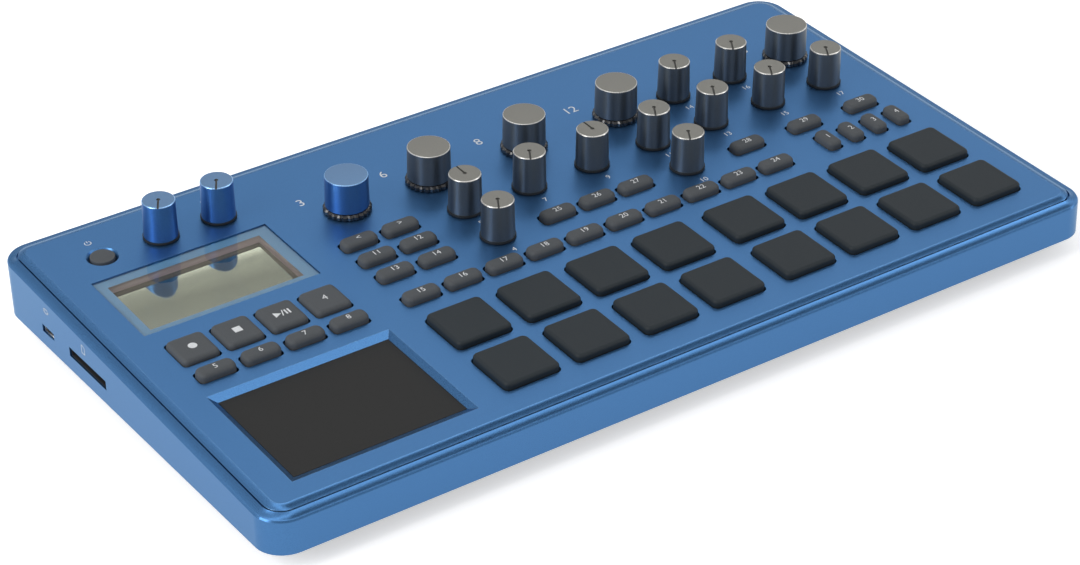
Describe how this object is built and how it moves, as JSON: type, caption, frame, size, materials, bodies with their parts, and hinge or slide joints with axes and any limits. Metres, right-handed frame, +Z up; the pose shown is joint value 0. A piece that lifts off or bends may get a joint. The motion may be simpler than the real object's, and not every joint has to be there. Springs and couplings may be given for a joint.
{
  "type": "drum machine",
  "caption": "Table-top drum machine: a wedge-shaped blue case with rubber trigger pads, turning knobs, rubber keys, a screen and a sunk touch pad",
  "frame": {"origin": "on the table, under the middle of the case", "axes": "+X to the player's right along the width, +Y to the back with the sockets, +Z up"},
  "size_m": [0.339, 0.189, 0.0453],
  "materials": {
    "blue_paint": "satin metallic blue paint",
    "black_plastic": "fine grained black moulding",
    "foot_rubber": "matt black rubber",
    "screw_steel": "black zinc plated steel",
    "blue_knob": "satin blue with a paler flat top",
    "grey_knob": "dark grey satin with a lighter flat top",
    "pad_rubber": "matt charcoal silicone rubber",
    "key_rubber": "matt grey silicone rubber",
    "window": "clear gloss acrylic",
    "screen": "greenish grey liquid crystal behind glass",
    "touch_surface": "fine textured dark film",
    "board": "green solder mask",
    "plated_steel": "tin plated steel",
    "switch_plastic": "black moulding",
    "jack_plastic": "black moulding with plated contacts",
    "cell_jacket": "plain printed jacket"
  },
  "bodies": {
    "case": {"battery_cells": "cell_jacket", "battery_cover": "black_plastic", "bottom_case": "black_plastic", "case_frame": "blue_paint", "case_screws": "screw_steel", "display_module": "screen", "display_window": "window", "encoders": "plated_steel", "key_switches": "switch_plastic", "main_boards": "board", "pad_board": "board", "panel_board": "board", "potentiometers": "plated_steel", "rear_jacks": "jack_plastic", "rubber_feet": "foot_rubber", "side_sockets": "plated_steel", "top_panel": "blue_paint", "touch_pad": "touch_surface"},
    "volume_knob": {"volume_knob": "blue_knob"},
    "input_knob": {"input_knob": "blue_knob"},
    "pitch_knob": {"pitch_knob": "grey_knob"},
    "glide_knob": {"glide_knob": "grey_knob"},
    "cutoff_knob": {"cutoff_knob": "grey_knob"},
    "sweep_knob": {"sweep_knob": "grey_knob"},
    "depth_knob": {"depth_knob": "grey_knob"},
    "speed_knob": {"speed_knob": "grey_knob"},
    "attack_knob": {"attack_knob": "grey_knob"},
    "decay_knob": {"decay_knob": "grey_knob"},
    "level_knob": {"level_knob": "grey_knob"},
    "pan_knob": {"pan_knob": "grey_knob"},
    "amount_knob": {"amount_knob": "grey_knob"},
    "selection_knob": {"selection_knob": "blue_knob"},
    "oscillator_knob": {"oscillator_knob": "grey_knob"},
    "filter_knob": {"filter_knob": "grey_knob"},
    "modulation_knob": {"modulation_knob": "grey_knob"},
    "effect_knob": {"effect_knob": "grey_knob"},
    "pad_1": {"pad_1": "pad_rubber"},
    "pad_2": {"pad_2": "pad_rubber"},
    "pad_3": {"pad_3": "pad_rubber"},
    "pad_4": {"pad_4": "pad_rubber"},
    "pad_5": {"pad_5": "pad_rubber"},
    "pad_6": {"pad_6": "pad_rubber"},
    "pad_7": {"pad_7": "pad_rubber"},
    "pad_8": {"pad_8": "pad_rubber"},
    "pad_9": {"pad_9": "pad_rubber"},
    "pad_10": {"pad_10": "pad_rubber"},
    "pad_11": {"pad_11": "pad_rubber"},
    "pad_12": {"pad_12": "pad_rubber"},
    "pad_13": {"pad_13": "pad_rubber"},
    "pad_14": {"pad_14": "pad_rubber"},
    "pad_15": {"pad_15": "pad_rubber"},
    "pad_16": {"pad_16": "pad_rubber"},
    "transport_keys": {"transport_keys": "key_rubber"},
    "touch_keys": {"touch_keys": "key_rubber"},
    "menu_keys": {"menu_keys": "key_rubber"},
    "step_keys": {"step_keys": "key_rubber"},
    "filter_keys": {"filter_keys": "key_rubber"},
    "effect_keys": {"effect_keys": "key_rubber"},
    "number_keys": {"number_keys": "key_rubber"},
    "power_button": {"power_button": "key_rubber"}
  },
  "joints": [
    {"name": "volume_turn", "type": "hinge", "parent": "case", "child": "volume_knob", "pos_m": [-0.1186, 0.06843, 0.02973], "axis": [0, -0.0457, 0.999], "range_deg": [-300, 0]},
    {"name": "input_turn", "type": "hinge", "parent": "case", "child": "input_knob", "pos_m": [-0.0956, 0.06843, 0.02973], "axis": [0, -0.0457, 0.999], "range_deg": [-300, 0]},
    {"name": "pitch_turn", "type": "hinge", "parent": "case", "child": "pitch_knob", "pos_m": [-0.021, 0.02328, 0.02766], "axis": [0, -0.0457, 0.999], "range_deg": [-150, 150]},
    {"name": "glide_turn", "type": "hinge", "parent": "case", "child": "glide_knob", "pos_m": [-0.021, 0.0024, 0.02671], "axis": [0, -0.0457, 0.999], "range_deg": [-300, 0]},
    {"name": "cutoff_turn", "type": "hinge", "parent": "case", "child": "cutoff_knob", "pos_m": [0.00653, 0.02328, 0.02766], "axis": [0, -0.0457, 0.999], "range_deg": [-300, 0]},
    {"name": "sweep_turn", "type": "hinge", "parent": "case", "child": "sweep_knob", "pos_m": [0.03407, 0.02328, 0.02766], "axis": [0, -0.0457, 0.999], "range_deg": [-150, 150]},
    {"name": "depth_turn", "type": "hinge", "parent": "case", "child": "depth_knob", "pos_m": [0.0616, 0.02328, 0.02766], "axis": [0, -0.0457, 0.999], "range_deg": [-300, 0]},
    {"name": "speed_turn", "type": "hinge", "parent": "case", "child": "speed_knob", "pos_m": [0.0616, 0.0024, 0.02671], "axis": [0, -0.0457, 0.999], "range_deg": [-300, 0]},
    {"name": "attack_turn", "type": "hinge", "parent": "case", "child": "attack_knob", "pos_m": [0.0884, 0.04695, 0.02874], "axis": [0, -0.0457, 0.999], "range_deg": [-300, 0]},
    {"name": "decay_turn", "type": "hinge", "parent": "case", "child": "decay_knob", "pos_m": [0.0884, 0.02328, 0.02766], "axis": [0, -0.0457, 0.999], "range_deg": [-300, 0]},
    {"name": "level_turn", "type": "hinge", "parent": "case", "child": "level_knob", "pos_m": [0.1152, 0.04695, 0.02874], "axis": [0, -0.0457, 0.999], "range_deg": [-300, 0]},
    {"name": "pan_turn", "type": "hinge", "parent": "case", "child": "pan_knob", "pos_m": [0.1152, 0.02328, 0.02766], "axis": [0, -0.0457, 0.999], "range_deg": [-300, 0]},
    {"name": "amount_turn", "type": "hinge", "parent": "case", "child": "amount_knob", "pos_m": [0.142, 0.02328, 0.02766], "axis": [0, -0.0457, 0.999], "range_deg": [-300, 0]},
    {"name": "selection_turn", "type": "hinge", "parent": "case", "child": "selection_knob", "pos_m": [-0.05547, 0.04695, 0.02874], "axis": [0, -0.0457, 0.999], "continuous": true},
    {"name": "oscillator_turn", "type": "hinge", "parent": "case", "child": "oscillator_knob", "pos_m": [-0.021, 0.04695, 0.02874], "axis": [0, -0.0457, 0.999], "continuous": true},
    {"name": "filter_turn", "type": "hinge", "parent": "case", "child": "filter_knob", "pos_m": [0.0203, 0.04695, 0.02874], "axis": [0, -0.0457, 0.999], "continuous": true},
    {"name": "modulation_turn", "type": "hinge", "parent": "case", "child": "modulation_knob", "pos_m": [0.0616, 0.04695, 0.02874], "axis": [0, -0.0457, 0.999], "continuous": true},
    {"name": "effect_turn", "type": "hinge", "parent": "case", "child": "effect_knob", "pos_m": [0.142, 0.04695, 0.02874], "axis": [0, -0.0457, 0.999], "continuous": true},
    {"name": "pad_1_press", "type": "slide", "parent": "case", "child": "pad_1", "axis": [0, 0.0457, -0.999], "range_m": [0, 0.001], "stiffness_N_per_m": 2500},
    {"name": "pad_2_press", "type": "slide", "parent": "case", "child": "pad_2", "axis": [0, 0.0457, -0.999], "range_m": [0, 0.001], "stiffness_N_per_m": 2500},
    {"name": "pad_3_press", "type": "slide", "parent": "case", "child": "pad_3", "axis": [0, 0.0457, -0.999], "range_m": [0, 0.001], "stiffness_N_per_m": 2500},
    {"name": "pad_4_press", "type": "slide", "parent": "case", "child": "pad_4", "axis": [0, 0.0457, -0.999], "range_m": [0, 0.001], "stiffness_N_per_m": 2500},
    {"name": "pad_5_press", "type": "slide", "parent": "case", "child": "pad_5", "axis": [0, 0.0457, -0.999], "range_m": [0, 0.001], "stiffness_N_per_m": 2500},
    {"name": "pad_6_press", "type": "slide", "parent": "case", "child": "pad_6", "axis": [0, 0.0457, -0.999], "range_m": [0, 0.001], "stiffness_N_per_m": 2500},
    {"name": "pad_7_press", "type": "slide", "parent": "case", "child": "pad_7", "axis": [0, 0.0457, -0.999], "range_m": [0, 0.001], "stiffness_N_per_m": 2500},
    {"name": "pad_8_press", "type": "slide", "parent": "case", "child": "pad_8", "axis": [0, 0.0457, -0.999], "range_m": [0, 0.001], "stiffness_N_per_m": 2500},
    {"name": "pad_9_press", "type": "slide", "parent": "case", "child": "pad_9", "axis": [0, 0.0457, -0.999], "range_m": [0, 0.001], "stiffness_N_per_m": 2500},
    {"name": "pad_10_press", "type": "slide", "parent": "case", "child": "pad_10", "axis": [0, 0.0457, -0.999], "range_m": [0, 0.001], "stiffness_N_per_m": 2500},
    {"name": "pad_11_press", "type": "slide", "parent": "case", "child": "pad_11", "axis": [0, 0.0457, -0.999], "range_m": [0, 0.001], "stiffness_N_per_m": 2500},
    {"name": "pad_12_press", "type": "slide", "parent": "case", "child": "pad_12", "axis": [0, 0.0457, -0.999], "range_m": [0, 0.001], "stiffness_N_per_m": 2500},
    {"name": "pad_13_press", "type": "slide", "parent": "case", "child": "pad_13", "axis": [0, 0.0457, -0.999], "range_m": [0, 0.001], "stiffness_N_per_m": 2500},
    {"name": "pad_14_press", "type": "slide", "parent": "case", "child": "pad_14", "axis": [0, 0.0457, -0.999], "range_m": [0, 0.001], "stiffness_N_per_m": 2500},
    {"name": "pad_15_press", "type": "slide", "parent": "case", "child": "pad_15", "axis": [0, 0.0457, -0.999], "range_m": [0, 0.001], "stiffness_N_per_m": 2500},
    {"name": "pad_16_press", "type": "slide", "parent": "case", "child": "pad_16", "axis": [0, 0.0457, -0.999], "range_m": [0, 0.001], "stiffness_N_per_m": 2500},
    {"name": "transport_keys_press", "type": "slide", "parent": "case", "child": "transport_keys", "axis": [0, 0.0457, -0.999], "range_m": [0, 0.0008], "stiffness_N_per_m": 2000},
    {"name": "touch_keys_press", "type": "slide", "parent": "case", "child": "touch_keys", "axis": [0, 0.0457, -0.999], "range_m": [0, 0.0008], "stiffness_N_per_m": 2000},
    {"name": "menu_keys_press", "type": "slide", "parent": "case", "child": "menu_keys", "axis": [0, 0.0457, -0.999], "range_m": [0, 0.0008], "stiffness_N_per_m": 2000},
    {"name": "step_keys_press", "type": "slide", "parent": "case", "child": "step_keys", "axis": [0, 0.0457, -0.999], "range_m": [0, 0.0008], "stiffness_N_per_m": 2000},
    {"name": "filter_keys_press", "type": "slide", "parent": "case", "child": "filter_keys", "axis": [0, 0.0457, -0.999], "range_m": [0, 0.0008], "stiffness_N_per_m": 2000},
    {"name": "effect_keys_press", "type": "slide", "parent": "case", "child": "effect_keys", "axis": [0, 0.0457, -0.999], "range_m": [0, 0.0008], "stiffness_N_per_m": 2000},
    {"name": "number_keys_press", "type": "slide", "parent": "case", "child": "number_keys", "axis": [0, 0.0457, -0.999], "range_m": [0, 0.0008], "stiffness_N_per_m": 2000},
    {"name": "power_button_press", "type": "slide", "parent": "case", "child": "power_button", "axis": [0, 0.0457, -0.999], "range_m": [0, 0.0006], "stiffness_N_per_m": 2000}
  ]
}
